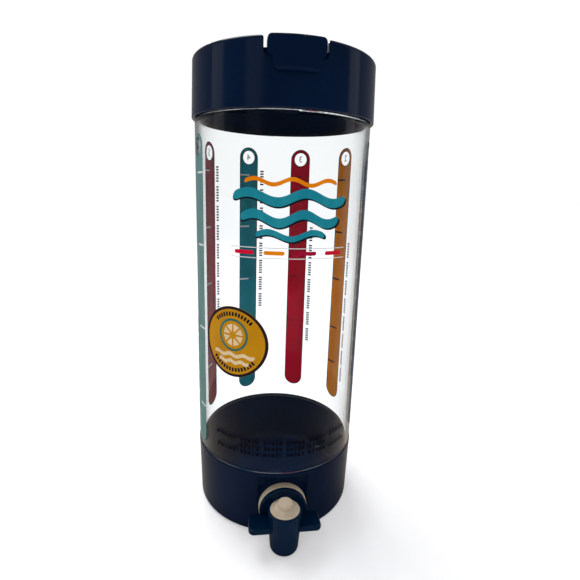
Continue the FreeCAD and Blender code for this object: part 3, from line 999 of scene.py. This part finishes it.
@dataclass
class StickerPrint(WallFilm):
    """The round sticker's border, citrus slice, two waves and two arcs of dashes."""

    slot: Slot = Slot.STICKER
    face_r: float = 54.2 * MM
    z: float = 126.3 * MM
    turn: float = -34.9
    border_r: float = 21.45 * MM
    border_w: float = 1.6 * MM
    slice_up: float = 4.4 * MM
    rind_r: float = 9.9 * MM
    rind_w: float = 1.4 * MM
    wedges: int = 8
    wedge_r: float = 3.1 * MM
    wedge_corner: float = 0.7 * MM
    wedge_steps: int = 4
    wedge_out: float = 4.9 * MM
    wedge_share: float = 0.82
    ribbons: tuple[Ribbon, ...] = (
        Ribbon("sticker_wave_1", Shade.PRINT_CREAM, 118.4, 28, 2.3, 0.7, 3.0),
        Ribbon("sticker_wave_2", Shade.PRINT_CREAM, 114.2, 21, 2.3, 0.7, 3.0),
    )
    dash: Pair = (1.35 * MM, 2.4 * MM)
    dash_up: float = 17.1 * MM
    dash_turn: float = 7.0
    arcs: tuple[tuple[str, int, float], ...] = (
        ("sticker_dashes_top", 13, -42.0), ("sticker_dashes_foot", 15, 131.0))

    def wedge(self, z: float, angle: float) -> Piece:
        """Adds one rounded wedge of the citrus slice.

        Args:
            z: The slice's middle height.
            angle: The wedge's direction in degrees.

        Returns:
            The wedge.
        """
        clear_selection()
        bpy.ops.mesh.primitive_circle_add(vertices=3, radius=self.wedge_r, fill_type="NGON",
                                          location=(0, 0, 0), rotation=(0, 0, 0))
        piece = bpy.context.active_object
        bpy.ops.object.mode_set(mode="EDIT")
        bpy.ops.mesh.select_all(action="SELECT")
        bpy.ops.mesh.bevel(offset=self.wedge_corner, segments=self.wedge_steps, affect="VERTICES")
        bpy.ops.object.mode_set(mode="OBJECT")
        piece.rotation_euler = (0, 0, math.pi)
        piece.location = (0, self.wedge_out, 0)
        piece.scale = (self.wedge_share, 1, 1)
        settle(piece)
        piece.rotation_euler = (0, 0, math.radians(angle))
        settle(piece)
        piece.rotation_euler = UPRIGHT
        piece.location = self.before(0, z)
        settle(piece)
        return piece

    def fan(self, piece: Piece, count: int, start: float) -> None:
        """Repeats a flat piece along an arc round the sticker's middle.

        Args:
            piece: The piece, above the middle.
            count: How many there are in all.
            start: Where the arc starts, in degrees from the top.
        """
        middle = Vector(self.before(0, self.z))
        first = Matrix.Rotation(math.radians(start), 4, "Y")
        piece.matrix_world = Matrix.Translation(middle) @ first @ Matrix.Translation(-middle)
        settle(piece)
        clear_selection()
        bpy.ops.object.empty_add()
        hub = bpy.context.active_object
        step = Matrix.Rotation(math.radians(self.dash_turn), 4, "Y")
        hub.matrix_world = Matrix.Translation(middle) @ step @ Matrix.Translation(-middle)
        bpy.context.view_layer.update()
        row = piece.modifiers.new("arc", "ARRAY")
        row.count = count
        row.use_relative_offset = False
        row.use_object_offset = True
        row.offset_object = hub
        apply_all(piece)
        bpy.data.objects.remove(hub)

    def build(self) -> None:
        """Prints the border, the slice, the waves and the dashes."""
        inner_r = self.face_r + self.gap
        border = self.ring(self.border_r, self.border_w, self.z)
        self.put_on("sticker_border", Shade.BORDER, border, inner_r, self.turn)
        slice_z = self.z + self.slice_up
        rind = self.ring(self.rind_r, self.rind_w, slice_z)
        self.put_on("sticker_rind", Shade.PRINT_GREEN, rind, inner_r, self.turn)
        for place in range(self.wedges):
            wedge = self.wedge(slice_z, (place + 0.5) * 360 / self.wedges)
            self.put_on(f"sticker_segment_{place + 1}", Shade.PRINT_CREAM, wedge, inner_r, self.turn)
        for ribbon in self.ribbons:
            self.wave(ribbon, inner_r, self.turn)
        for name, count, start in self.arcs:
            piece = self.plate(*self.dash, self.z + self.dash_up)
            self.fan(piece, count, start)
            self.put_on(name, Shade.INK_DARK, piece, inner_r, self.turn)


@dataclass
class TapButton:
    """The rubber button's skirt and bead in the mouth of the tap."""

    axis_y: float = -65.5 * MM
    mouth_z: float = 28.4 * MM
    bead_r: float = 9.0 * MM
    bead_h: float = 1.6 * MM
    bead_in: float = 7.9 * MM
    bead_round: float = 0.4 * MM
    bead_bevel: float = 0.12 * MM
    nub_r: float = 4.65 * MM
    rise: float = 2.3 * MM
    wall: float = 1.2 * MM
    skirt_gap: float = 0.02 * MM
    skirt_steps: int = 12
    stroke: float = 2.6 * MM
    sides: int = 96

    def turn_up(self, profile: list[Pair]) -> Piece:
        """Models a closed ring by extruding a circle from corner to corner of its section.

        Args:
            profile: The section's corners as radius and height.

        Returns:
            The ring.
        """
        clear_selection()
        radius, height = profile[0]
        place = (0, self.axis_y, height)
        bpy.ops.mesh.primitive_circle_add(vertices=self.sides, radius=radius, location=place)
        piece = bpy.context.active_object
        settle(piece)
        bpy.ops.object.mode_set(mode="EDIT")
        bpy.ops.mesh.select_all(action="SELECT")
        for next_r, next_z in profile[1:] + profile[:1]:
            bpy.ops.mesh.extrude_region_move(TRANSFORM_OT_translate={"value": (0, 0, next_z - height)})
            share = next_r / radius
            bpy.ops.transform.resize(value=(share, share, 1), center_override=(0, self.axis_y, next_z))
            radius, height = next_r, next_z
        bpy.ops.mesh.select_all(action="SELECT")
        bpy.ops.mesh.remove_doubles(threshold=MERGED)
        bpy.ops.object.mode_set(mode="OBJECT")
        return piece

    def bead(self) -> None:
        """Builds the bead that holds the button in the mouth and stays put."""
        top = self.mouth_z
        foot = top - self.bead_h
        bead = self.turn_up([
            (self.bead_in, foot),
            (self.bead_r, foot),
            (self.bead_r, top - self.bead_round),
            (self.bead_r - self.bead_bevel, top - self.bead_bevel),
            (self.bead_r - self.bead_round, top),
            (self.bead_in, top),
        ])
        close_up(bead, smooth_degrees=50.0)
        dress(bead, "button_bead", Shade.CREAM)

    def skirt(self) -> None:
        """Builds the domed skirt round the nub and hides the imported diaphragm."""
        top = self.mouth_z
        foot = top - self.bead_h
        skirt_r = self.bead_in - self.skirt_gap
        outer, inner = [(skirt_r, foot)], [(skirt_r - self.wall, foot)]
        for step in range(self.skirt_steps + 1):
            share = step / self.skirt_steps
            lift = self.rise * (1 - math.cos(math.pi * share)) / 2
            radius = skirt_r - (skirt_r - self.nub_r) * share
            outer.append((radius, top + lift))
            inner.append((max(radius - self.wall * (1 - share), self.nub_r), top + lift - self.wall))
        skirt = self.turn_up(outer + inner[::-1])
        close_up(skirt, smooth_degrees=60.0)
        dress(skirt, "button_skirt", Shade.CREAM)
        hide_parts("button_diaphragm")
        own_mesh(skirt)

    def build(self) -> None:
        """Builds the bead and the skirt."""
        self.bead()
        self.skirt()


@dataclass
class Studio:
    """Pale floor, soft lamps and the camera at the photograph's angle."""

    floor_r: float = 14.0
    floor_sides: int = 96
    paper: StudioPaper = StudioPaper("studio_paper", srgb(238, 238, 240), srgb(172, 163, 152))
    lens: float = 26.0
    sensor: float = 36.0
    distance: float = 279.0 * MM
    height: float = 212.1 * MM
    nearest: float = 10.0 * MM
    pitch: float = 13.07
    yaw: float = 1.59
    roll: float = 1.85
    front_turn: float = 6.3
    # The air's brightness in front, behind and above, and where it rises on the way back and up.
    front_air: float = 0.16
    back_air: float = 0.26
    top_air: float = 0.34
    back_rise: Pair = (-0.75, 0.6)
    top_rise: Pair = (0.45, 0.9)
    backdrop: float = 1.02
    middle: Point = (0.0, 0.0, 0.14)
    strips: tuple[tuple[str, Point, float], ...] = (
        ("left_strip", (-0.62, -0.72, 0.34), 0.4),
        ("left_edge", (-1.0, 0.0, 0.34), 0.6),
        ("right_edge", (1.0, -0.1, 0.34), 0.6),
    )
    strip_size: Pair = (0.3, 0.9)
    glints: tuple[Point, ...] = (
        (-0.5, -0.9, 1.3), (0.35, -1.0, 1.25), (-0.24, 1.2, 0.85), (0.06, 1.25, 0.8))
    glint_size: Pair = (0.03, 0.03)
    glint_power: float = 1.1
    sun_power: float = 1.5
    sun_spread: float = 34.0
    sun_tilt: Pair = (-22.0, -14.0)

    def floor(self) -> None:
        """Lays a wide pale floor."""
        clear_selection()
        bpy.ops.mesh.primitive_circle_add(vertices=self.floor_sides, radius=self.floor_r,
                                          fill_type="NGON", location=(0, 0, 0))
        piece = bpy.context.active_object
        piece.name = "studio_floor"
        piece.data.materials.append(self.paper.build())

    def overhead(self) -> None:
        """Adds the even, very soft light from above."""
        data = bpy.data.lights.new("overhead", "SUN")
        data.energy = self.sun_power
        data.angle = math.radians(self.sun_spread)
        lamp = bpy.data.objects.new("overhead", data)
        bpy.context.scene.collection.objects.link(lamp)
        lamp.rotation_euler = (math.radians(self.sun_tilt[0]), math.radians(self.sun_tilt[1]), 0)

    def lamp(self, name: str, place: Point, size: Pair, power: float) -> None:
        """Adds a soft lamp that faces the object and is mirrored, and is not itself in view.

        Args:
            name: Its name.
            place: Where it stands.
            size: Its width and height.
            power: Its power in watts.
        """
        data = bpy.data.lights.new(name, "AREA")
        data.shape = "RECTANGLE"
        data.size, data.size_y = size
        data.energy = power
        lamp = bpy.data.objects.new(name, data)
        bpy.context.scene.collection.objects.link(lamp)
        lamp.location = place
        lamp.rotation_euler = (Vector(self.middle) - Vector(place)).to_track_quat("-Z", "Y").to_euler()
        lamp.visible_camera = False
        lamp.visible_transmission = False

    def world(self) -> None:
        """Surrounds the object with a white backdrop that shows directly and through the clear wall.

        What the surfaces mirror is dimmer, and so is what lights them from outside the wall. Both are
        brighter behind the object and above it.
        """
        world = bpy.data.worlds.new("studio_air")
        bpy.context.scene.world = world
        recipe = Recipe(world)
        parts = recipe.add("ShaderNodeSeparateXYZ", {0: recipe.coords["Generated"]}).outputs
        path = recipe.add("ShaderNodeLightPath", {}).outputs
        back = recipe.spread(parts["Y"], self.back_rise, (self.front_air, self.back_air), "SMOOTHSTEP")
        above = (0.0, self.top_air - self.front_air)
        top = recipe.spread(parts["Z"], self.top_rise, above, "SMOOTHSTEP")
        air = recipe.reckon("ADD", back, top)
        unmirrored = recipe.reckon("LESS_THAN", path["Glossy Depth"], MIRRORED)
        through = recipe.reckon("MULTIPLY", path["Is Transmission Ray"], unmirrored)
        for share in (through, path["Is Camera Ray"]):
            air = recipe.add("ShaderNodeMix", {0: share, 2: air, 3: self.backdrop}).outputs[0]
        recipe.finish(recipe.add("ShaderNodeBackground", {"Color": (1.0, 1.0, 1.0), "Strength": air}))

    def camera(self) -> None:
        """Sets the camera where the photograph was taken from."""
        p, y, r = (math.radians(value) for value in (self.pitch, self.yaw, self.roll))
        turn = Matrix.Rotation(math.radians(-self.front_turn), 3, "Z")
        ahead = Vector((math.sin(y) * math.cos(p), math.cos(y) * math.cos(p), -math.sin(p)))
        right = Vector((math.cos(y), -math.sin(y), 0))
        up = Vector((math.sin(y) * math.sin(p), math.cos(y) * math.sin(p), math.cos(p)))
        rolled_right = math.cos(r) * right + math.sin(r) * up
        rolled_up = math.cos(r) * up - math.sin(r) * right
        matrix = Matrix.Identity(4)
        for column, axis in enumerate((rolled_right, rolled_up, -ahead)):
            for row, value in enumerate(turn @ axis):
                matrix[row][column] = value
        matrix.translation = turn @ Vector((0, -self.distance, self.height))
        data = bpy.data.cameras.new("photo_camera")
        data.lens = self.lens
        data.sensor_width = self.sensor
        data.clip_start = self.nearest
        camera = bpy.data.objects.new("photo_camera", data)
        bpy.context.scene.collection.objects.link(camera)
        camera.matrix_world = matrix
        bpy.context.scene.camera = camera

    def build(self) -> None:
        """Builds the whole studio."""
        bpy.context.scene.view_settings.view_transform = "Standard"
        self.floor()
        self.world()
        for name, place, power in self.strips:
            self.lamp(name, place, self.strip_size, power)
        for number, place in enumerate(self.glints, 1):
            self.lamp(f"glint_{number}", place, self.glint_size, self.glint_power)
        self.overhead()
        self.camera()
        log.info("studio")


def main() -> None:
    """Builds the looks in order and reports each piece."""
    logging.basicConfig(level=logging.INFO, format="%(message)s")
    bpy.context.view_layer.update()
    MouldedParts().build()
    MeasureBars().build()
    FrontPrint().build()
    StickerPrint().build()
    TapButton().build()
    Studio().build()


if __name__ == "__main__":
    main()
